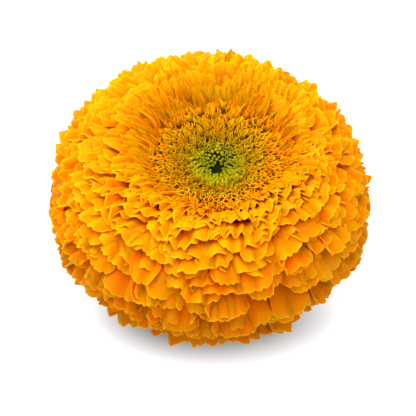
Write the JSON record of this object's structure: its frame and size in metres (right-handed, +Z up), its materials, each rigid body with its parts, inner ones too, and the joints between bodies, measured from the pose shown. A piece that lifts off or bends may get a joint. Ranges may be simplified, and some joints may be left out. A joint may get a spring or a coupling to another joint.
{
  "type": "african marigold flower",
  "caption": "Cut marigold flower head resting on its underside: a ball of ruffled orange petals round a sunken golden and green eye, held by a green calyx.",
  "frame": {"origin": "centre of the calyx's flat cut base, on the surface that the head rests on", "axes": "+Z up, along the head's axis from the calyx to the eye; +X is the side that the eye leans to; the picture looks along +Y and down"},
  "size_m": [0.0816, 0.0813, 0.0443],
  "materials": {
    "petal": "soft matte orange petal with thin yellow edges",
    "golden_floret": "matte golden olive petal",
    "green_floret": "matte yellow-green buds",
    "calyx": "waxy ribbed green"
  },
  "bodies": {
    "root": {"petals": "petal", "golden_florets": "golden_floret", "green_florets": "green_floret", "calyx": "calyx"}
  },
  "joints": []
}
